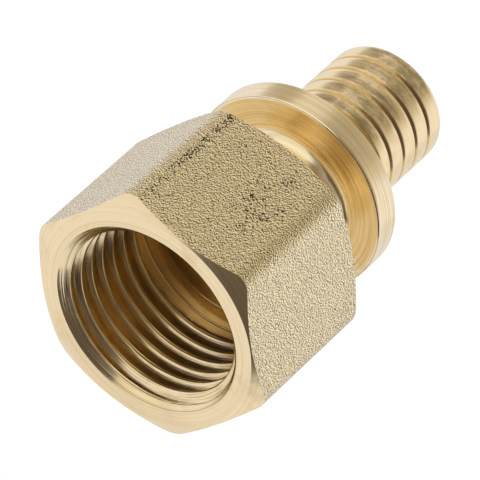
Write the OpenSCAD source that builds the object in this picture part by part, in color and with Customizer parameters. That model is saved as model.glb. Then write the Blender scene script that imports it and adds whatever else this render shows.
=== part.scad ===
// Brass pipe adapter: a hexagon with a female thread at one end and a grooved stub for
// plastic pipe at the other. It is forged and turned from one piece, and lies on a flat
// of its hexagon. Sizes are in millimetres.

/* [Hexagon] */
// Width across the flats
hex_flats = 25; // [24:0.5:32]
// Length from the mouth to the rear face
hex_length = 17.9; // [16.5:0.1:26]
// Radius along the six long edges
hex_edge_radius = 2.35; // [0.5:0.05:4]
// Distance from a flat in to the edge of the turned end faces
face_inset = 0.15; // [0.05:0.05:0.8]
// Angle between the end chamfers and the end faces
chamfer_angle = 30; // [15:1:45]

/* [Female thread] */
// Minor diameter of the thread
thread_minor = 18.63; // [17:0.01:19.5]
// Distance from the mouth to the last turn of the thread
thread_depth = 11.7; // [6:0.1:12.7]
// Diameter of the mouth where its chamfer meets the front face
mouth_diameter = 21.2; // [20:0.1:23]
// Diameter of the relief behind the thread
relief_diameter = 21; // [20:0.1:22]
// Distance from the mouth to the end wall of the socket
socket_depth = 14; // [13:0.1:16]

/* [Waterway] */
// Diameter of the bore through the stub
bore_diameter = 9.5; // [6:0.1:10.5]
// Width of the chamfers at both ends of the bore
bore_chamfer = 0.4; // [0.1:0.05:0.6]

/* [Neck] */
// Diameter of the neck between the hexagon and the collar
neck_diameter = 13.4; // [12:0.1:16]
// Length of the neck
neck_length = 6.7; // [4:0.1:12]
// Radius of the fillets at both ends of the neck
neck_fillet = 1.5; // [0.3:0.1:1.9]

/* [Collar] */
// Diameter of the collar that stops the pipe and its sleeve
collar_diameter = 22.1; // [18:0.1:23.5]
// Thickness of the collar
collar_thickness = 2.9; // [1.5:0.1:5]
// Width of the collar's broken edge towards the hexagon
collar_front_edge = 0.2; // [0.05:0.05:0.5]
// Width of the collar's broken edge towards the stub
collar_rear_edge = 0.05; // [0.05:0.05:0.5]

/* [Pipe stub] */
// Diameter over the lands between the grooves
stub_diameter = 13.55; // [12.5:0.05:16]
// Length from the collar to the tip
stub_length = 15.4; // [13.5:0.05:22]
// Number of grooves
groove_count = 5; // [2:1:6]
// Distance from one groove to the next
groove_pitch = 2.3; // [1.6:0.05:2.6]
// Distance between the two grooves nearest the collar
first_pitch = 1.85; // [1.5:0.05:2.6]
// Depth of a groove below the lands
groove_depth = 0.28; // [0.2:0.01:0.45]
// Width of a groove's floor
groove_floor = 0.04; // [0.02:0.01:0.2]
// Angle between the two sides of a groove
groove_angle = 90; // [50:5:100]
// Distance before a groove's far edge over which a land falls away
fall_length = 1.15; // [0.8:0.05:1.4]
// Radius that the lands fall away with
fall_radius = 3; // [2:0.1:6]
// Distance from the last groove's far edge to the tip
tip_land = 2.2; // [1.2:0.05:2.6]
// Length of the tip's rounding
tip_rounding = 0.7; // [0.3:0.05:0.75]
// Radius of the tip's rounding
tip_radius = 0.8; // [0.75:0.05:1.5]

/* [Hidden] */
$fn = 144;
brass = "#c9a868";
clear = 1;
overlap = 0.005;

hex_r = hex_flats / 2;
face_r = hex_r - face_inset;
corner_r = hex_r / cos(30);
chamfer_rise = (corner_r + clear - face_r) * tan(chamfer_angle);

minor_r = thread_minor / 2;
mouth_r = mouth_diameter / 2;
relief_r = relief_diameter / 2;
bore_r = bore_diameter / 2;

neck_r = neck_diameter / 2;
collar_r = collar_diameter / 2;
collar_front = hex_length + neck_length;
collar_rear = collar_front + collar_thickness;

crest_r = stub_diameter / 2;
total_length = collar_rear + stub_length;
tip_start = total_length - tip_rounding;
side_slope = tan(groove_angle / 2);

// Far edge of groove i, counted from the tip: the edge that faces the collar
function groove_edge(i) = total_length - tip_land
    - min(i, groove_count - 2) * groove_pitch - max(i - groove_count + 2, 0) * first_pitch;

// Middle of groove i's floor
function groove_middle(i) = groove_edge(i) - groove_depth * side_slope - groove_floor / 2;

// Hexagon with its corners rounded off. The discs at the corners stand past the flats by a
// hair, so that their arcs cross the flats and end on them.
module rounded_hexagon() {
    flat_width = 2 * (hex_r - hex_edge_radius) * tan(30);
    disc_distance = (hex_r - hex_edge_radius + overlap) / cos(30);
    intersection() {
        rotate(30) circle(r = corner_r, $fn = 6);
        union() {
            for (a = [0:60:120])
                rotate(a) square([hex_flats + 2 * clear, flat_width], center = true);
            for (a = [30:60:330])
                rotate(a) translate([disc_distance, 0]) circle(r = hex_edge_radius);
        }
    }
}

// Half section of hexagon and collar, before the neck is cut: radius across, distance from
// the mouth up. The hexagon's stretch stands past the corners of the flats.
module body_outline() {
    polygon([
        [0, 0], [face_r, 0], [corner_r + clear, chamfer_rise],
        [corner_r + clear, hex_length - chamfer_rise], [face_r, hex_length],
        [collar_r - collar_front_edge, hex_length], [collar_r - collar_front_edge, collar_front],
        [collar_r, collar_front + collar_front_edge], [collar_r, collar_rear - collar_rear_edge],
        [collar_r - collar_rear_edge, collar_rear], [0, collar_rear]]);
}

// Half section of the land that ends at groove i: level at first, then falling in an arc
module land_outline(i) {
    start = i == groove_count - 1 ? collar_front : groove_middle(i + 1);
    fall_start = groove_edge(i) - fall_length;
    translate([0, start]) square([crest_r, fall_start - start]);
    intersection() {
        translate([crest_r - fall_radius, fall_start]) circle(r = fall_radius);
        translate([0, start]) square([crest_r + clear, groove_middle(i) + overlap - start]);
    }
}

// Half section of the last land and the rounded tip
module tip_outline() {
    start = groove_middle(0);
    translate([0, start]) square([crest_r, tip_start - start]);
    translate([0, start]) square([crest_r - tip_radius, total_length - start]);
    intersection() {
        translate([crest_r - tip_radius, tip_start]) circle(r = tip_radius);
        translate([0, start]) square([crest_r + clear, total_length - start]);
    }
}

// Channel that the neck is cut with: a straight floor with a fillet at each end
module neck_channel() {
    reach = collar_r + clear - neck_r;
    translate([neck_r + neck_fillet, hex_length]) square([reach, neck_length]);
    translate([neck_r, hex_length + neck_fillet]) square([reach, neck_length - 2 * neck_fillet]);
    for (z = [hex_length + neck_fillet, collar_front - neck_fillet])
        translate([neck_r + neck_fillet, z]) circle(r = neck_fillet);
}

// Cutter of every groove on the stub, with two slanted sides
module groove_cutters() {
    reach = groove_depth + clear;
    for (i = [0:groove_count - 1])
        translate([crest_r - groove_depth, groove_middle(i)]) polygon([
            [0, -groove_floor / 2], [0, groove_floor / 2],
            [reach, groove_floor / 2 + reach * side_slope], [reach, -groove_floor / 2 - reach * side_slope]]);
}

// Half section of everything bored out: mouth, thread, relief, end wall and waterway
module bored_outline() {
    polygon([
        [0, -clear], [mouth_r + clear, -clear], [minor_r, mouth_r - minor_r], [minor_r, thread_depth],
        [relief_r, thread_depth + relief_r - minor_r], [relief_r, socket_depth],
        [bore_r + bore_chamfer, socket_depth], [bore_r, socket_depth + bore_chamfer],
        [bore_r, total_length - bore_chamfer], [bore_r + bore_chamfer + clear, total_length + clear],
        [0, total_length + clear]]);
}

module turned_body() {
    rotate_extrude() difference() {
        union() {
            body_outline();
            for (i = [0:groove_count - 1]) land_outline(i);
            tip_outline();
        }
        neck_channel();
        groove_cutters();
        bored_outline();
    }
}

// The adapter lies along X on a flat, with its mouth towards -X and its length centred
module adapter() {
    color(brass)
        translate([-total_length / 2, 0, hex_r]) rotate([0, 90, 0])
            intersection() {
                turned_body();
                linear_extrude(total_length) rounded_hexagon();
            }
}

adapter();
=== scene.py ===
"""A brass pipe adapter on a pale floor: a forged hexagon with a female thread, a turned
neck and collar, and a grooved stub. Lengths are millimetres until a mesh is made."""

from __future__ import annotations

import logging
from dataclasses import dataclass, field
from enum import Enum
from typing import Any, Mapping, Protocol

import bpy
import numpy as np
from mathutils import Euler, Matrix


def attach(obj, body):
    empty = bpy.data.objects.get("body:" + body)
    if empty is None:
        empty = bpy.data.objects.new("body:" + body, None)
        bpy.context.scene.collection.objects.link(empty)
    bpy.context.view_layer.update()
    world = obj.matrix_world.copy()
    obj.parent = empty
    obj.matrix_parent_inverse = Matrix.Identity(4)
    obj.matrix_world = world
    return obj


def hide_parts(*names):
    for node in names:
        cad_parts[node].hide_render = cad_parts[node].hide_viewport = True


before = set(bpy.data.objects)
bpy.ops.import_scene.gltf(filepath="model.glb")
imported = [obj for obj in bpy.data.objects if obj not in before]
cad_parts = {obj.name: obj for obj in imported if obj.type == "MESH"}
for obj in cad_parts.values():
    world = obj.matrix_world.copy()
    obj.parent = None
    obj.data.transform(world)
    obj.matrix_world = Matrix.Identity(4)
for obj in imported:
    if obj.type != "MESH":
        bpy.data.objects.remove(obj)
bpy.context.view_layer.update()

Socket = bpy.types.NodeSocket
Triple = tuple[float, float, float]
Colour = Triple
Pair = tuple[float, float]
# Where a smooth step begins and where it ends
Span = Pair

MM = 0.001
WHITE: Colour = (1.0, 1.0, 1.0)
LOG = logging.getLogger("adapter")


class Finish(Enum):
    """The ways that the brass is left by the forge and the lathe, by material slot."""

    FORGED = 0
    FACED = 1
    COLLAR = 2
    STUB = 3
    THREAD = 4
    WALL = 5
    BORE = 6
    MOUTH = 7


# Shape


@dataclass(frozen=True)
class Sizes:
    """The driving sizes, which more than one stretch of the adapter needs."""

    across_flats: float = 25.0
    hex_length: float = 17.9
    mouth_radius: float = 10.6
    neck_length: float = 6.7
    collar_thickness: float = 2.9
    stub_length: float = 15.4
    stub_radius: float = 6.775
    bore_radius: float = 4.75
    bore_chamfer: float = 0.4

    @property
    def collar_front(self) -> float:
        """Distance from the mouth to the collar."""
        return self.hex_length + self.neck_length

    @property
    def collar_rear(self) -> float:
        """Distance from the mouth to the stub."""
        return self.collar_front + self.collar_thickness

    @property
    def total_length(self) -> float:
        """Distance from the mouth to the tip."""
        return self.collar_rear + self.stub_length


SIZES = Sizes()


@dataclass(frozen=True)
class Wheel:
    """The directions round the axis that every ring of the surface is divided by.

    They are the directions of points spread over a hexagon with rounded corners: evenly
    along each flat, and evenly round each corner's arc.
    """

    across_flats: float
    edge_radius: float = 2.35
    flat_steps: int = 14
    edge_steps: int = 12

    def rim(self) -> np.ndarray:
        """Points of the rounded hexagon.

        One sixth is a flat, half + 1j * t, and then an arc about a centre on the corner's
        line; the other sixths are that one turned by 60 degrees each.

        Returns:
            The points, as complex numbers: up + 1j * sideways.
        """
        half = self.across_flats / 2
        inner = half - self.edge_radius
        t = np.linspace(-1, 1, self.flat_steps, endpoint=False) * inner * np.tan(np.pi / 6)
        turn = np.linspace(0, np.pi / 3, self.edge_steps, endpoint=False)
        corner = inner / np.cos(np.pi / 6) * np.exp(1j * np.pi / 6)
        sixth = np.concatenate([half + 1j * t, corner + self.edge_radius * np.exp(1j * turn)])
        turns = np.exp(1j * np.pi / 3 * np.arange(6))
        return (turns[:, None] * sixth[None, :]).ravel()

    @property
    def angles(self) -> np.ndarray:
        """Angle of each column from the top, in radians, clockwise from the mouth."""
        return np.angle(self.rim())

    @property
    def reach(self) -> np.ndarray:
        """Distance from the axis to the hexagon in each column."""
        return np.abs(self.rim())

    @property
    def columns(self) -> int:
        """How many columns there are."""
        return 6 * (self.flat_steps + self.edge_steps)


@dataclass(frozen=True)
class Ring:
    """One corner of the outline: how far along the axis and how far out it lies.

    Both may differ from column to column. `finish` is that of the surface from here to
    the next ring, `rounding` the radius that the corner is rounded with, and `steps` how
    many faces the rounding has.
    """

    along: np.ndarray | float
    out: np.ndarray | float
    finish: Finish
    rounding: float = 0.0
    steps: int = 3

    def spread(self, columns: int) -> np.ndarray:
        """The ring as an array of (along, out) by column."""
        places = (np.asarray(place, float) for place in (self.along, self.out))
        return np.stack([np.broadcast_to(place, (columns,)) for place in places])


class Section(Protocol):
    """A stretch of the adapter that can give its part of the outline."""

    def outline(self) -> list[Ring]:
        """Rings of this stretch, in the outline's order."""


@dataclass
class HexBody:
    """The forged hexagon with its turned end faces."""

    sizes: Sizes
    wheel: Wheel
    face_inset: float = 0.155
    chamfer_angle: float = 30.0
    mouth_edge: float = 0.05
    face_edge: float = 0.08
    flat_edge: float = 0.1

    def outline(self) -> list[Ring]:
        """Front face, front chamfer, flats, rear chamfer and rear face.

        A chamfer is a cone, and it ends where it meets the hexagon: its depth in a column
        is (reach - face radius) * tan(angle).

        Returns:
            The rings.
        """
        length, reach = self.sizes.hex_length, self.wheel.reach
        face = self.sizes.across_flats / 2 - self.face_inset
        depth = (reach - face) * np.tan(np.radians(self.chamfer_angle))
        return [
            Ring(0.0, self.sizes.mouth_radius, Finish.FACED, self.mouth_edge, steps=4),
            Ring(0.0, face, Finish.FACED, self.face_edge),
            Ring(depth, reach, Finish.FORGED, self.flat_edge, steps=6),
            Ring(length - depth, reach, Finish.FACED, self.flat_edge, steps=6),
            Ring(length, face, Finish.FACED, self.face_edge),
        ]


@dataclass
class NeckAndCollar:
    """The turned neck behind the hexagon, and the collar that stops the pipe."""

    sizes: Sizes
    neck_radius: float = 6.7
    fillet: float = 1.5
    collar_radius: float = 11.05
    front_edge: float = 0.2
    front_rounding: float = 0.3
    rear_rounding: float = 0.05
    root_rounding: float = 0.15

    def outline(self) -> list[Ring]:
        """Neck with a fillet at each end, then the collar with its broken edges.

        Returns:
            The rings.
        """
        front, rear = self.sizes.collar_front, self.sizes.collar_rear
        neck, rim, edge = self.neck_radius, self.collar_radius, self.front_edge
        return [
            Ring(self.sizes.hex_length, neck, Finish.COLLAR, self.fillet, steps=18),
            Ring(front, neck, Finish.COLLAR, self.fillet, steps=18),
            Ring(front, rim - edge, Finish.COLLAR, self.front_rounding, steps=6),
            Ring(front + edge, rim, Finish.COLLAR, self.front_rounding, steps=6),
            Ring(rear, rim, Finish.COLLAR, self.rear_rounding, steps=4),
            Ring(rear, self.sizes.stub_radius, Finish.STUB, self.root_rounding, steps=4),
        ]


@dataclass
class PipeStub:
    """The grooved stub that the pipe is pushed over, and its rounded tip.

    Each land is level at first, falls away towards the tip in an arc, and ends in a narrow
    groove with two slanted sides. The groove's far edge, where the next land begins, bites
    the pipe.
    """

    sizes: Sizes
    grooves: int = 5
    pitch: float = 2.3
    first_pitch: float = 1.85
    groove_depth: float = 0.28
    groove_floor: float = 0.04
    side_angle: float = 45.0
    fall_length: float = 1.15
    fall_radius: float = 3.0
    fall_rows: int = 10
    near_edge: float = 0.08
    floor_edge: float = 0.03
    far_edge: float = 0.2
    tip_land: float = 2.2
    tip_rounding: float = 0.7
    tip_radius: float = 0.8
    tip_rows: int = 12
    tip_edge: float = 0.08
    bore_edge: float = 0.05

    @property
    def edges(self) -> list[float]:
        """Where the grooves' far edges lie.

        Returns:
            Their distances from the mouth, from the collar to the tip.
        """
        last = self.sizes.total_length - self.tip_land
        edges = [last - i * self.pitch for i in range(self.grooves - 1)]
        return [edges[-1] - self.first_pitch, *reversed(edges)]

    def groove(self, edge: float) -> list[Ring]:
        """The falling arc in front of a groove, and the groove itself.

        The arc is out = crest - R + sqrt(R^2 - (along - start of the fall)^2). It ends at
        the depth d where it meets the groove's near side: with k the tangent of the side's
        angle and a the distance from the start of the fall to where that side would reach
        the crest, d is the smaller root of (1 + k^2) d^2 + 2 (a k - R) d + a^2 = 0.

        Args:
            edge: where the groove's far edge lies along the axis.

        Returns:
            The rings, from the start of the fall to the far edge.
        """
        crest, radius = self.sizes.stub_radius, self.fall_radius
        k = float(np.tan(np.radians(self.side_angle)))
        run = self.groove_depth * k
        a = self.fall_length - 2 * run - self.groove_floor
        half = radius - a * k
        d = float((half - np.sqrt(half**2 - (1 + k**2) * a**2)) / (1 + k**2))
        start, floor = edge - self.fall_length, crest - self.groove_depth
        t = np.linspace(0, a + k * d, self.fall_rows)
        out = crest - radius + np.sqrt(radius**2 - t**2)
        fall = [Ring(float(start + b), float(r), Finish.STUB) for b, r in zip(t[:-1], out[:-1])]
        return fall + [
            Ring(float(start + t[-1]), float(out[-1]), Finish.STUB, self.near_edge),
            Ring(edge - run - self.groove_floor, floor, Finish.STUB, self.floor_edge),
            Ring(edge - run, floor, Finish.STUB, self.floor_edge),
            Ring(edge, crest, Finish.STUB, self.far_edge, steps=6),
        ]

    def outline(self) -> list[Ring]:
        """Lands and grooves from the collar to the tip, then the tip's face.

        The tip is an arc that starts level with the crest:
        out = crest - R + sqrt(R^2 - (along - start)^2).

        Returns:
            The rings.
        """
        end, crest = self.sizes.total_length, self.sizes.stub_radius
        bore, chamfer = self.sizes.bore_radius, self.sizes.bore_chamfer
        grooves = [ring for edge in self.edges for ring in self.groove(edge)]
        t = self.tip_rounding * np.sin(np.linspace(0, np.pi / 2, self.tip_rows))
        out = crest - self.tip_radius + np.sqrt(self.tip_radius**2 - t**2)
        start = end - self.tip_rounding
        tip = [Ring(float(start + a), float(r), Finish.STUB) for a, r in zip(t[:-1], out[:-1])]
        face = [
            Ring(end, float(out[-1]), Finish.FACED, self.tip_edge, steps=5),
            Ring(end, bore + chamfer, Finish.FACED, self.bore_edge),
            Ring(end - chamfer, bore, Finish.BORE, self.bore_edge),
        ]
        return grooves + tip + face


@dataclass
class ThreadedSocket:
    """The socket behind the mouth: end wall, relief, thread and mouth chamfer.

    Its wall has rows from `first_row` in front of the end wall to `last_row` behind the
    mouth. `mouth_depth` is how far in the mouth's chamfer is finished as such.
    """

    sizes: Sizes
    wheel: Wheel
    depth: float = 14.0
    relief_radius: float = 10.5
    corner: float = 0.2
    step_radius: float = 8.05
    step_height: float = 0.03
    step_edge: float = 0.01
    bore_edge: float = 0.05
    pitch: float = 1.814
    minor_radius: float = 9.315
    major_radius: float = 10.4775
    rounding: float = 0.249
    flank: float = 27.5
    thread_end: float = 11.7
    phase: float = 1.23
    blend: float = 0.03
    mouth_depth: float = 0.8
    first_row: float = 0.5
    last_row: float = 0.06
    row_step: float = 0.05

    def thread(self, along: np.ndarray, angle: np.ndarray) -> np.ndarray:
        """A right-handed screw thread with rounded crests and roots.

        u is the distance along the axis to the nearest crest, once the angle's share of
        the pitch is taken off. Near the crest and the root the profile is an arc, and in
        between it is a straight flank of slope 1 / tan(flank).

        Args:
            along: distances from the mouth.
            angle: directions round the axis, in radians.

        Returns:
            The radius at each of them.
        """
        lead = along - self.pitch * angle / (2 * np.pi) - self.phase
        u = np.abs((lead + self.pitch / 2) % self.pitch - self.pitch / 2)
        v = self.pitch / 2 - u
        flank = np.radians(self.flank)
        edge = self.rounding * np.cos(flank)
        crest = self.minor_radius + self.rounding - np.sqrt(np.maximum(self.rounding**2 - u**2, 0))
        root = self.major_radius - self.rounding + np.sqrt(np.maximum(self.rounding**2 - v**2, 0))
        side = self.minor_radius + self.rounding * (1 - np.sin(flank)) + (u - edge) / np.tan(flank)
        return np.where(u < edge, crest, np.where(v < edge, root, side))

    def wall(self, along: np.ndarray, angle: np.ndarray) -> np.ndarray:
        """The socket's wall: the widest of thread, mouth chamfer and relief.

        Two surfaces a and b meet in (a + b + sqrt((a - b)^2 + k^2)) / 2, which rounds the
        edge between them by about k.

        Args:
            along: distances from the mouth.
            angle: directions round the axis, in radians.

        Returns:
            The radius at each of them.
        """

        def wider(a: np.ndarray, b: np.ndarray) -> np.ndarray:
            """Rounded maximum of two radii."""
            return (a + b + np.sqrt((a - b) ** 2 + self.blend**2)) / 2

        mouth = self.sizes.mouth_radius - along
        relief = np.minimum(self.minor_radius + along - self.thread_end, self.relief_radius)
        return wider(wider(self.thread(along, angle), mouth), relief)

    def finish(self, along: float) -> Finish:
        """How the wall is finished.

        Args:
            along: distance from the mouth.

        Returns:
            The finish there.
        """
        if along < self.mouth_depth:
            return Finish.MOUTH
        return Finish.THREAD if along < self.thread_end else Finish.WALL

    def outline(self) -> list[Ring]:
        """From the bore's edge out over the end wall, then along the wall to the mouth.

        Returns:
            The rings.
        """
        bore, chamfer = self.sizes.bore_radius, self.sizes.bore_chamfer
        raised = self.depth - self.step_height
        floor = [
            Ring(self.depth + chamfer, bore, Finish.WALL, self.bore_edge),
            Ring(self.depth, bore + chamfer, Finish.WALL, self.bore_edge),
            Ring(self.depth, self.step_radius, Finish.WALL, self.step_edge, steps=2),
            Ring(raised, self.step_radius + self.step_height, Finish.WALL, self.step_edge, steps=2),
            Ring(raised, self.relief_radius, Finish.WALL, self.corner, steps=5),
        ]
        first = self.depth - self.first_row
        count = int(round((first - self.last_row) / self.row_step))
        rows = np.linspace(first, self.last_row, count)
        walls = self.wall(rows[:, None], self.wheel.angles[None, :])
        return floor + [Ring(float(a), wall, self.finish(a)) for a, wall in zip(rows, walls)]


@dataclass
class Outline:
    """The closed outline that all sections make together, as rows of a grid.

    On each side of a rounded corner one more row lies `support` past the arc, or `share`
    of the side past it where the side is short.
    """

    rings: list[Ring]
    columns: int
    support: float = 0.04
    share: float = 0.2
    rows: list[np.ndarray] = field(default_factory=list)
    finishes: list[Finish] = field(default_factory=list)

    def add(self, row: np.ndarray, finish: Finish) -> None:
        """Keep one row and the finish of the surface behind it."""
        self.rows.append(row)
        self.finishes.append(finish)

    def round_corner(self, before: np.ndarray, ring: Ring, after: np.ndarray, was: Finish) -> None:
        """Replace a corner by an arc that is tangent to both of its sides.

        With d1 and d2 the directions in and out, and n the part of d2 across d1, the arc
        is corner - t * d1 + R * (sin(a) * d1 + (1 - cos(a)) * n), with t = R * tan(turn / 2)
        and a from 0 to the whole turn.

        Args:
            before: the corner before, by column.
            ring: the corner itself.
            after: the corner after, by column.
            was: finish of the surface before the corner.
        """
        corner = ring.spread(self.columns)
        d1, d2 = corner - before, after - corner
        l1, l2 = np.hypot(*d1), np.hypot(*d2)
        d1, d2 = d1 / l1, d2 / l2
        cos = np.clip((d1 * d2).sum(0), -1, 1)
        turn = np.arccos(cos)
        n = (d2 - cos * d1) / np.sin(turn)
        t = ring.rounding * np.tan(turn / 2)
        self.add(corner - (t + np.minimum(self.support, self.share * l1)) * d1, was)
        for i in range(ring.steps + 1):
            a = turn * i / ring.steps
            arc = corner - t * d1 + ring.rounding * (np.sin(a) * d1 + (1 - np.cos(a)) * n)
            self.add(arc, was if 2 * i < ring.steps else ring.finish)
        self.add(corner + (t + np.minimum(self.support, self.share * l2)) * d2, ring.finish)

    def trace(self) -> tuple[np.ndarray, list[Finish]]:
        """Work out every row.

        Returns:
            The rows, as an array of (row, along or out, column), and each row's finish.
        """
        spread = [ring.spread(self.columns) for ring in self.rings]
        count = len(self.rings)
        for i, ring in enumerate(self.rings):
            if ring.rounding:
                before, after = spread[i - 1], spread[(i + 1) % count]
                self.round_corner(before, ring, after, self.rings[i - 1].finish)
            else:
                self.add(spread[i], ring.finish)
        return np.stack(self.rows), self.finishes


@dataclass
class Adapter:
    """The whole fitting as one closed skin, lying on a flat with its mouth towards -X."""

    sizes: Sizes

    @property
    def wheel(self) -> Wheel:
        """The directions that every ring is divided by."""
        return Wheel(self.sizes.across_flats)

    def sections(self) -> list[Section]:
        """The stretches of the outline, in order: outside to the tip, then back inside.

        Returns:
            The sections.
        """
        sizes, wheel = self.sizes, self.wheel
        outside = [HexBody(sizes, wheel), NeckAndCollar(sizes), PipeStub(sizes)]
        return [*outside, ThreadedSocket(sizes, wheel)]

    def mesh(self) -> bpy.types.Mesh:
        """Carry the outline round the axis and join its ends.

        A point of row i and column j lies at x = along - half the length, at
        y = -out * sin(angle) and at z = half the hexagon + out * cos(angle).

        Returns:
            The mesh, in metres, with one material index for each finish.
        """
        rings = [ring for section in self.sections() for ring in section.outline()]
        rows, finishes = Outline(rings, self.wheel.columns).trace()
        along, out = rows[:, 0], rows[:, 1]
        angle = self.wheel.angles[None, :]
        x = along - self.sizes.total_length / 2
        z = self.sizes.across_flats / 2 + out * np.cos(angle)
        points = np.stack([x, -out * np.sin(angle), z], -1)
        count, columns = along.shape
        index = np.arange(count * columns).reshape(count, columns)
        below, beside = np.roll(index, -1, 0), np.roll(index, -1, 1)
        across = np.roll(below, -1, 1)
        faces = np.stack([index, below, across, beside], -1).reshape(-1, 4)
        mesh = bpy.data.meshes.new("adapter_skin")
        mesh.from_pydata((points.reshape(-1, 3) * MM).tolist(), [], faces.tolist())
        slots = np.repeat([finish.value for finish in finishes], columns).astype(np.int32)
        mesh.polygons.foreach_set("material_index", slots)
        mesh.polygons.foreach_set("use_smooth", np.ones(len(faces), dtype=bool))
        mesh.update()
        return mesh


# Shader expressions


class Wire:
    """A number in a shader tree. Sums and products of wires add the Math nodes they need."""

    def __init__(self, bench: "Bench", socket: Socket) -> None:
        """Wrap one output socket of the bench's tree."""
        self.bench, self.socket = bench, socket

    def _math(self, operation: str, *values: "Wire | float") -> "Wire":
        """A Math node on the given values."""
        node = self.bench.node("ShaderNodeMath", {"operation": operation}, dict(enumerate(values)))
        return Wire(self.bench, node.outputs[0])

    def __add__(self, other: "Wire | float") -> "Wire":
        """This number plus another."""
        return self._math("ADD", self, other)

    __radd__ = __add__

    def __mul__(self, other: "Wire | float") -> "Wire":
        """This number times another."""
        return self._math("MULTIPLY", self, other)

    __rmul__ = __mul__

    def __sub__(self, other: "Wire | float") -> "Wire":
        """This number less another."""
        return self._math("SUBTRACT", self, other)

    def __rsub__(self, other: "Wire | float") -> "Wire":
        """Another number less this one."""
        return self._math("SUBTRACT", other, self)

    def __truediv__(self, other: "Wire | float") -> "Wire":
        """This number divided by another."""
        return self._math("DIVIDE", self, other)

    def __rtruediv__(self, other: "Wire | float") -> "Wire":
        """Another number divided by this one."""
        return self._math("DIVIDE", other, self)

    def __abs__(self) -> "Wire":
        """This number without its sign."""
        return self._math("ABSOLUTE", self)

    def root(self) -> "Wire":
        """The square root of this number."""
        return self._math("SQRT", self)

    def larger(self, other: "Wire | float") -> "Wire":
        """The larger of this number and another."""
        return self._math("MAXIMUM", self, other)

    def step(self, low: float, high: float, start: float = 0.0, end: float = 1.0) -> "Wire":
        """A smooth step between two numbers.

        Args:
            low: where the step begins.
            high: where it ends.
            start: the result up to low.
            end: the result from high on.

        Returns:
            The result.
        """
        settings = {"interpolation_type": "SMOOTHSTEP"}
        inputs = {0: self, 1: low, 2: high, 3: start, 4: end}
        return self.bench.wire(self.bench.node("ShaderNodeMapRange", settings, inputs))


class Bench:
    """A node tree, and the one method that puts nodes on it."""

    def __init__(self, tree: bpy.types.NodeTree) -> None:
        """Start with an empty tree."""
        self.tree = tree
        tree.nodes.clear()

    def node(
        self,
        kind: str,
        settings: Mapping[str, Any] | None = None,
        inputs: Mapping[int | str, Any] | None = None,
    ) -> bpy.types.Node:
        """Add a node.

        Args:
            kind: the node's type.
            settings: its properties, which are set first.
            inputs: a value, a wire or an output socket for each input, by name or number.

        Returns:
            The node.
        """
        node = self.tree.nodes.new(kind)
        for name, value in (settings or {}).items():
            setattr(node, name, value)
        for name, value in (inputs or {}).items():
            socket = node.inputs[name]
            if isinstance(value, Wire):
                value = value.socket
            if isinstance(value, Socket):
                self.tree.links.new(value, socket)
            elif socket.type == "RGBA" and len(value) == 3:
                socket.default_value = (*value, 1.0)
            else:
                socket.default_value = value
        return node

    def wire(self, node: bpy.types.Node, output: int | str = 0) -> Wire:
        """One output of a node as a number."""
        return Wire(self, node.outputs[output])

    def parts(self, vector: Socket) -> tuple[Wire, Wire, Wire]:
        """The three parts of a vector."""
        node = self.node("ShaderNodeSeparateXYZ", None, {0: vector})
        return self.wire(node, 0), self.wire(node, 1), self.wire(node, 2)

    def vector(self, x: Wire | float, y: Wire | float, z: Wire | float) -> Socket:
        """A vector from its three parts."""
        return self.node("ShaderNodeCombineXYZ", None, {0: x, 1: y, 2: z}).outputs[0]

    def vector_math(self, operation: str, *vectors: Socket | Triple) -> Wire:
        """A number worked out from vectors: a length or a dot product."""
        node = self.node("ShaderNodeVectorMath", {"operation": operation}, dict(enumerate(vectors)))
        return self.wire(node, "Value")

    def noise(self, vector: Socket, scale: float, detail: float, rough: float = 0.5) -> Wire:
        """Noise about 0.5: its waves to one unit, its finer octaves and their strength."""
        inputs = {"Vector": vector, "Scale": scale, "Detail": detail, "Roughness": rough}
        return self.wire(self.node("ShaderNodeTexNoise", None, inputs), "Fac")

    def blend(self, factor: Wire, a: Socket | Colour, b: Socket | Colour) -> Socket:
        """Colour a where the factor is 0 and b where it is 1."""
        node = self.node("ShaderNodeMix", {"data_type": "RGBA"}, {0: factor, 6: a, 7: b})
        return node.outputs[2]

    def bump(self, height: Wire, depth: float) -> Socket:
        """The normal that a height gives, with depth the millimetres that 1 stands for."""
        inputs = {"Height": height, "Strength": 1.0, "Distance": depth * MM}
        return self.node("ShaderNodeBump", None, inputs).outputs[0]


# Finishes


class Skin(Protocol):
    """A finish that can be made into a material."""

    name: str

    def dress(self, bench: Bench) -> None:
        """Fill a material's tree."""


def metal(bench: Bench, colour: Socket, roughness: Wire | float, normal: Socket) -> None:
    """Close a tree with a metal surface and the material's output.

    Args:
        bench: the material's tree.
        colour: the metal's colour.
        roughness: its roughness.
        normal: the normal that the bumps give it.
    """
    inputs = {"Base Color": colour, "Roughness": roughness, "Normal": normal, "Metallic": 1.0}
    shader = bench.node("ShaderNodeBsdfPrincipled", None, inputs)
    bench.node("ShaderNodeOutputMaterial", None, {"Surface": shader.outputs[0]})


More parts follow.
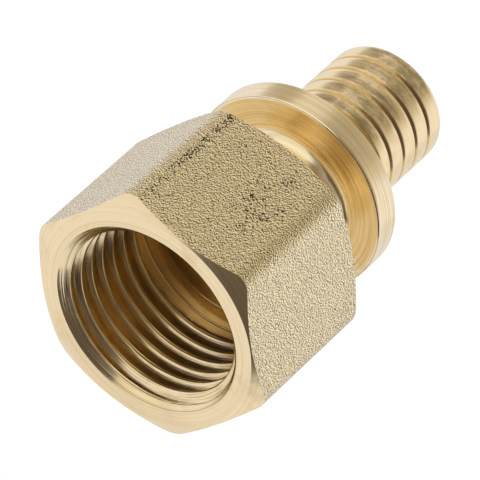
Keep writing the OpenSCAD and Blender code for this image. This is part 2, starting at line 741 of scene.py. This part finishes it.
@dataclass(frozen=True)
class ForgedBrass:
    """Blasted forging skin: hard grain, with pits in a row and in a cluster on top.

    The grain is `stretch` times as wide round the axis as it is along it, and `shift` is
    the distance over which its slope is taken. The slope is painted into the colour as
    light and shade: a painted highlight on one side of each grain and painted shade on
    the other. The pits are painted near black, as painted shade. `spot`, `clump` and
    `patch` are the sizes of the noises that make the pits. `cluster` is the middle of the
    cluster, and `cluster_half` its half length and half width.
    """

    name: str = "forged_brass"
    # light and dark are the grain's painted highlight and painted shade; middle is its own tone.
    light: Colour = (1.0, 0.935, 0.68)
    middle: Colour = (0.95, 0.80, 0.47)
    dark: Colour = (0.20, 0.13, 0.04)
    # The pits' colour, near black, is painted shade in their hollows.
    pit_shade: Colour = (0.055, 0.035, 0.012)
    grain: float = 0.165
    shift: float = 0.095
    stretch: float = 0.7
    shaded: Span = (-0.16, -0.01)
    lit: Span = (0.0, 0.1)
    depth: float = 0.05
    clump_height: float = 0.4
    pit_depth: float = 0.3
    roughness: float = 0.22
    spot: float = 0.165
    clump: float = 0.7
    patch: float = 3.5
    pitted: Span = (0.21, 0.275)
    richness: float = 0.19
    top: Span = (24.3, 24.5)
    row_middle: float = 6.0
    row_half: Span = (0.225, 0.75)
    row_length: Span = (-30.0, -12.0)
    cluster: Pair = (-11.6, -2.9)
    cluster_half: Pair = (7.2, 2.7)
    cluster_edge: Span = (0.4, 1.0)
    clump_weight: float = 0.5
    torn: Span = (0.6, 0.9)
    cluster_share: float = 0.95

    def pits(self, bench: Bench, place: Socket, clumps: Wire) -> Wire:
        """Pits where a noise is low, which the row and the cluster allow more often.

        The cluster is an ellipse, 1 in the middle and 0 from its rim on, torn by noise.

        Args:
            bench: the material's tree.
            place: Object coordinates.
            clumps: the noise that tears the cluster.

        Returns:
            1 in a pit and 0 beside it.
        """
        x, y, z = bench.parts(place)
        spots = bench.noise(place, 1 / (self.spot * MM), detail=0.0)
        patches = bench.noise(place, 1 / (self.patch * MM), detail=2.0)
        row = abs(y - self.row_middle * MM).step(*(v * MM for v in self.row_half), 1.0, 0.0)
        row = row * x.step(*(v * MM for v in self.row_length))
        along = (x - self.cluster[0] * MM) / (self.cluster_half[0] * MM)
        aside = (y - self.cluster[1] * MM) / (self.cluster_half[1] * MM)
        cluster = (along * along + aside * aside).step(*self.cluster_edge, 1.0, 0.0)
        cluster = cluster * (patches + clumps * self.clump_weight).step(*self.torn)
        where = row.larger(cluster * self.cluster_share)
        where = where * z.step(*(v * MM for v in self.top))
        return (spots - where * self.richness).step(*self.pitted, 1.0, 0.0)

    def dress(self, bench: Bench) -> None:
        """Grain, with the pits in it.

        The grain's tone is the slope of its noise along the axis, painted into the colour as
        light and shade: each grain has a painted highlight on one side and painted shade on the
        other.

        Args:
            bench: the material's tree.
        """
        place = bench.node("ShaderNodeTexCoord").outputs["Object"]
        x, y, z = bench.parts(place)
        k, tangent = 1 / (self.grain * MM), 1 / (self.grain * self.stretch * MM)
        x, y, z = x * k, y * tangent, z * tangent
        fine = bench.noise(bench.vector(x, y, z), 1.0, detail=0.0)
        shifted = bench.vector(x + self.shift / self.grain, y, z)
        painted_grain_light = fine - bench.noise(shifted, 1.0, detail=0.0)
        clumps = bench.noise(place, 1 / (self.clump * MM), detail=1.0)
        pits = self.pits(bench, place, clumps)
        # Painted shade on one side of each grain and a painted highlight on its other side, from
        # the slope.
        colour = bench.blend(painted_grain_light.step(*self.shaded), self.dark, self.middle)
        colour = bench.blend(painted_grain_light.step(*self.lit), colour, self.light)
        # The pits painted near black: painted shade.
        colour = bench.blend(pits, colour, self.pit_shade)
        height = fine + clumps * self.clump_height - pits * self.pit_depth
        metal(bench, colour, self.roughness, bench.bump(height, self.depth))


@dataclass(frozen=True)
class TurnedBrass:
    """Brass straight from the lathe: fine lines round the axis, and faint stains.

    `line` is the lines' size and `bands` how many of them go to a broad band. `streak` is
    how much the lines darken the metal, `stain` how much the stains do, and `smudge` how
    much of a dull film lies along the top, in blots as long and as wide as `blot` says.
    Where there is a `crest`, shade is painted into the metal from `sunk` below it, in the
    grooves, darker and tinted gold, as far along the axis as `grooved_to`.
    """

    name: str
    line: float
    depth: float
    roughness: float
    light: Colour = (0.96, 0.81, 0.51)
    dark: Colour = (0.76, 0.57, 0.30)
    streak: float = 0.5
    stain: float = 0.3
    axis_height: float = SIZES.across_flats / 2
    line_drift: float = 0.7
    bands: float = 6.0
    band_drift: float = 0.5
    band_height: float = 1.2
    cloud: float = 3.2
    cloudy: Span = (0.52, 0.72)
    dark_below: float = 0.55
    darkening: float = 3.0
    dulling: float = 0.2
    smudge: float = 0.0
    film: Colour = (0.46, 0.37, 0.21)
    film_dulling: float = 0.6
    blot: Pair = (0.45, 1.1)
    blot_weight: float = 0.7
    band_weight: float = 0.6
    blotted: Span = (0.45, 0.8)
    along_top: Span = (0.76, 0.93)
    crest: float = 0.0
    sunk: Span = (0.2, 0.03)
    grooved_to: Span = (20.1, 20.4)
    # Colour of the painted shade, tinted gold, in the grooves.
    groove: Colour = (0.72, 0.47, 0.17)

    def smear(self, bench: Bench, place: Socket, top: Wire, bands: Wire) -> Wire:
        """The film along the top, in blots.

        Args:
            bench: the material's tree.
            place: Object coordinates.
            top: how far round to the top a point lies, 1 at the top.
            bands: the noise of the broad bands, which tears the film.

        Returns:
            How much film there is.
        """
        x, y, z = bench.parts(place)
        length, width = (v * MM for v in self.blot)
        stretched = bench.vector(x / length, y / width, z / width)
        blots = bench.noise(stretched, 1.0, detail=3.0, rough=0.7)
        torn = (blots * self.blot_weight + bands * self.band_weight).step(*self.blotted)
        return top.step(*self.along_top) * torn * self.smudge

    def grooves(self, x: Wire, out: Wire) -> Wire:
        """1 in the grooves, where shade is painted, and 0 on the lands and at the tip."""
        low, high = ((self.crest - v) * MM for v in self.sunk)
        return out.step(low, high, 1.0, 0.0) * x.step(*(v * MM for v in self.grooved_to), 1.0, 0.0)

    def dress(self, bench: Bench) -> None:
        """Lines from noise on (along, out), so that each line runs round the axis.

        The direction round the axis comes in weakly, so that a line fades in and out.

        Args:
            bench: the material's tree.
        """
        place = bench.node("ShaderNodeTexCoord").outputs["Object"]
        x, y, z = bench.parts(place)
        up = z - self.axis_height * MM
        out = bench.vector_math("LENGTH", bench.vector(0.0, y, up))
        side, top = y / out, up / out
        k = 1 / (self.line * MM)
        turn = (side + top) * self.line_drift
        lines = bench.noise(bench.vector(x * k, out * k, turn), 1.0, detail=2.5, rough=0.6)
        k = k / self.bands
        bands = bench.noise(bench.vector(x * k, out * k, top * self.band_drift), 1.0, detail=1.5)
        clouds = bench.noise(place, 1 / (self.cloud * MM), detail=3.0, rough=0.6)
        stain = clouds.step(*self.cloudy) * self.stain
        streaks = (self.dark_below - lines).larger(0.0) * (self.darkening * self.streak)
        colour = bench.blend(stain + streaks, self.light, self.dark)
        if self.smudge:
            film = self.smear(bench, place, top, bands)
            colour = bench.blend(film, colour, self.film)
            stain = stain + film * self.film_dulling
        if self.crest:
            # Painted shade, tinted gold, in the stub's grooves.
            colour = bench.blend(self.grooves(x, out), colour, self.groove)
        normal = bench.bump(lines + bands * self.band_height, self.depth)
        metal(bench, colour, stain * self.dulling + self.roughness, normal)


SKINS: dict[Finish, Skin] = {
    Finish.FORGED: ForgedBrass(),
    Finish.FACED: TurnedBrass("faced_brass", line=0.12, depth=0.007, roughness=0.24, streak=0.75),
    Finish.COLLAR: TurnedBrass(
        "collar_brass",
        line=0.14,
        depth=0.01,
        roughness=0.17,
        light=(0.98, 0.86, 0.6),
        streak=1.4,
    ),
    Finish.STUB: TurnedBrass(
        "stub_brass",
        line=0.12,
        depth=0.0015,
        roughness=0.16,
        smudge=1.0,
        crest=SIZES.stub_radius,
    ),
    Finish.THREAD: TurnedBrass(
        "thread_brass",
        line=0.14,
        depth=0.012,
        roughness=0.19,
        dark=(0.5, 0.34, 0.15),
        streak=1.0,
    ),
    Finish.MOUTH: TurnedBrass(
        "mouth_brass",
        line=0.17,
        depth=0.03,
        roughness=0.16,
        dark=(0.5, 0.38, 0.22),
        streak=1.1,
        stain=0.15,
    ),
    Finish.WALL: TurnedBrass(
        "wall_brass",
        line=0.16,
        depth=0.006,
        roughness=0.22,
        # Coloured darker than the other turned brass: painted shade deep in the socket.
        light=(0.80, 0.64, 0.38),
        streak=0.9,
    ),
    Finish.BORE: TurnedBrass("bore_brass", line=0.2, depth=0.002, roughness=0.18),
}


def make_material(skin: Skin) -> bpy.types.Material:
    """Make a finish into a material.

    Args:
        skin: the finish.

    Returns:
        The material, with the finish's nodes.
    """
    material = bpy.data.materials.new(skin.name)
    material.use_nodes = True
    skin.dress(Bench(material.node_tree))
    return material


# Studio


def cosine(degrees: float) -> float:
    """Cosine of an angle in degrees."""
    return float(np.cos(np.radians(degrees)))


def sine(degrees: float) -> float:
    """Sine of an angle in degrees."""
    return float(np.sin(np.radians(degrees)))


def put(name: str, data: bpy.types.ID) -> bpy.types.Object:
    """Make an object of the given data and put it into the scene.

    Args:
        name: the object's name.
        data: its mesh or camera.

    Returns:
        The object.
    """
    thing = bpy.data.objects.new(name, data)
    bpy.context.scene.collection.objects.link(thing)
    return thing


@dataclass(frozen=True)
class Glow:
    """A round patch of the tent: where it is, and how far its full part and its edge reach.

    Angles are in degrees.
    """

    azimuth: float
    elevation: float
    inner: float
    outer: float
    weight: float
    colour: Colour

    @property
    def aim(self) -> Triple:
        """The direction of its middle."""
        level = cosine(self.elevation)
        return cosine(self.azimuth) * level, sine(self.azimuth) * level, sine(self.elevation)

    def strength(self, bench: Bench, direction: Socket) -> Wire:
        """How much of the patch shows in a direction."""
        towards = bench.vector_math("DOT_PRODUCT", direction, self.aim)
        return towards.step(cosine(self.outer), cosine(self.inner)) * self.weight


@dataclass
class Studio:
    """A pale round table top in a light tent, with a dark gap where the camera stands.

    The gap's half widths are in degrees, and heights in the tent go from -1, straight down,
    to 1, straight up. `pole_guard` keeps the tent's poles from a division by zero.
    """

    floor_radius: float = 40.0
    floor_middle: float = 14.0
    floor_drop: float = 0.02
    floor_sides: int = 96
    floor_colour: Colour = (0.85, 0.85, 0.85)
    floor_strength: float = 1.34
    seen_share: float = 0.72
    mirrored_share: float = 0.85
    lens: float = 433.4
    sensor: float = 36.0
    clip: Pair = (0.01, 10.0)
    camera_place: Triple = (-377.898, -114.121, 430.682)
    camera_turn: Triple = (40.1365, -16.762, -54.1253)
    pale: Colour = (0.89, 0.865, 0.895)
    overhead: Colour = (0.70, 0.61, 0.475)
    overhead_height: Span = (0.12, 0.42)
    zenith: Colour = (0.12, 0.095, 0.06)
    zenith_height: Span = (0.5, 1.1)
    gap: Colour = (0.118, 0.097, 0.082)
    gap_low: Colour = (0.05, 0.043, 0.036)
    gap_azimuth: float = 207.0
    gap_half: Span = (37.5, 36.0)
    gap_foot: Span = (-0.57, -0.55)
    gap_change: Span = (-0.23, -0.21)
    gap_head: Span = (0.66, 0.8)
    pole_guard: float = 1e-6
    glows: tuple[Glow, ...] = (
        Glow(33, 38, 8, 21, 0.6, (0.86, 0.80, 0.755)),
        Glow(-28, 42, 8, 26, 0.5, (0.363, 0.311, 0.246)),
        Glow(110, 58, 30, 46, 1.0, (0.97, 0.935, 0.86)),
        Glow(275, 38, 15, 45, 0.7, (0.40, 0.35, 0.28)),
        Glow(48, 12, 9, 18, 0.8, (0.455, 0.395, 0.312)),
        Glow(-48, -11, 8, 25, 0.6, (0.98, 0.95, 0.97)),
    )

    def camera(self) -> None:
        """The camera at the photograph's angle."""
        data = bpy.data.cameras.new("camera")
        data.lens = self.lens
        data.sensor_width = self.sensor
        data.clip_start, data.clip_end = self.clip
        camera = put("camera", data)
        camera.location = [v * MM for v in self.camera_place]
        camera.rotation_euler = Euler(np.radians(self.camera_turn).tolist())
        bpy.context.scene.camera = camera

    def floor(self) -> None:
        """A flat disc, a fan of faces about its middle, just below the adapter.

        A point of its rim lies at the middle + radius * (cos(turn), sin(turn)).
        """
        turn = np.linspace(0, 2 * np.pi, self.floor_sides, endpoint=False)
        rim = np.stack([np.cos(turn), np.sin(turn), np.zeros_like(turn)], -1)
        points = np.concatenate([[[0.0, 0.0, 0.0]], rim * self.floor_radius])
        points = (points + [self.floor_middle, 0.0, -self.floor_drop]) * MM
        ring = np.arange(self.floor_sides) + 1
        faces = np.stack([np.zeros_like(ring), ring, np.roll(ring, -1)], -1)
        mesh = bpy.data.meshes.new("table_top")
        mesh.from_pydata(points.tolist(), [], faces.tolist())
        mesh.materials.append(self.floor_material())
        floor = put("table_top", mesh)

    def floor_material(self) -> bpy.types.Material:
        """Plain white where light falls on it, and a glow of its own to the camera and in
        mirrors, where the adapter's shadow still shows.

        Returns:
            The material.
        """
        material = bpy.data.materials.new("table_white")
        material.use_nodes = True
        bench = Bench(material.node_tree)
        path = bench.node("ShaderNodeLightPath")
        seen = bench.wire(path, "Is Camera Ray").larger(bench.wire(path, "Is Transmission Ray"))
        mirrored = bench.wire(path, "Is Glossy Ray")
        plain = bench.node("ShaderNodeBsdfDiffuse", None, {"Color": self.floor_colour})
        colour = bench.blend(mirrored, WHITE, self.pale)
        strength = mirrored.step(0.0, 1.0, self.floor_strength, 1.0)
        glow = bench.node("ShaderNodeEmission", None, {"Color": colour, "Strength": strength})
        share = seen * self.seen_share + mirrored * self.mirrored_share
        inputs = {0: share, 1: plain.outputs[0], 2: glow.outputs[0]}
        mix = bench.node("ShaderNodeMixShader", None, inputs)
        bench.node("ShaderNodeOutputMaterial", None, {"Surface": mix.outputs[0]})
        return material

    def tent(self) -> None:
        """The light round the table, by direction.

        Low down it is white all round, overhead it is dimmer and falls off upwards, and the
        camera's side is a dark gap. The camera itself sees plain white.
        """
        world = bpy.data.worlds.new("tent")
        world.use_nodes = True
        bpy.context.scene.world = world
        bench = Bench(world.node_tree)
        direction = bench.node("ShaderNodeTexCoord").outputs["Generated"]
        x, y, z = bench.parts(direction)
        colour = bench.blend(z.step(*self.overhead_height), self.pale, self.overhead)
        colour = bench.blend(z.step(*self.zenith_height), colour, self.zenith)
        for glow in self.glows:
            colour = bench.blend(glow.strength(bench, direction), colour, glow.colour)
        level = (x * x + y * y + self.pole_guard).root()
        facing = (x * cosine(self.gap_azimuth) + y * sine(self.gap_azimuth)) / level
        inside = facing.step(*(cosine(v) for v in self.gap_half))
        inside = inside * z.step(*self.gap_foot) * z.step(*self.gap_head, 1.0, 0.0)
        gap = bench.blend(z.step(*self.gap_change), self.gap_low, self.gap)
        colour = bench.blend(inside, colour, gap)
        seen = bench.wire(bench.node("ShaderNodeLightPath"), "Is Camera Ray")
        colour = bench.blend(seen, colour, WHITE)
        sky = bench.node("ShaderNodeBackground", None, {"Color": colour, "Strength": 1.0})
        bench.node("ShaderNodeOutputWorld", None, {"Surface": sky.outputs[0]})


def main() -> None:
    """Build the studio and the adapter, and tie the adapter to the CAD model."""
    logging.basicConfig(level=logging.INFO, format="%(name)s: %(message)s")
    view = bpy.context.scene.view_settings
    view.view_transform = "Standard"
    studio = Studio()
    studio.camera()
    studio.floor()
    studio.tent()
    mesh = Adapter(SIZES).mesh()
    for finish in Finish:
        mesh.materials.append(make_material(SKINS[finish]))
    piece = put("adapter_skin", mesh)
    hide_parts("adapter")
    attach(piece, "root")
    LOG.info("adapter_skin: %d faces, %d finishes", len(mesh.polygons), len(mesh.materials))


if __name__ == "__main__":
    main()
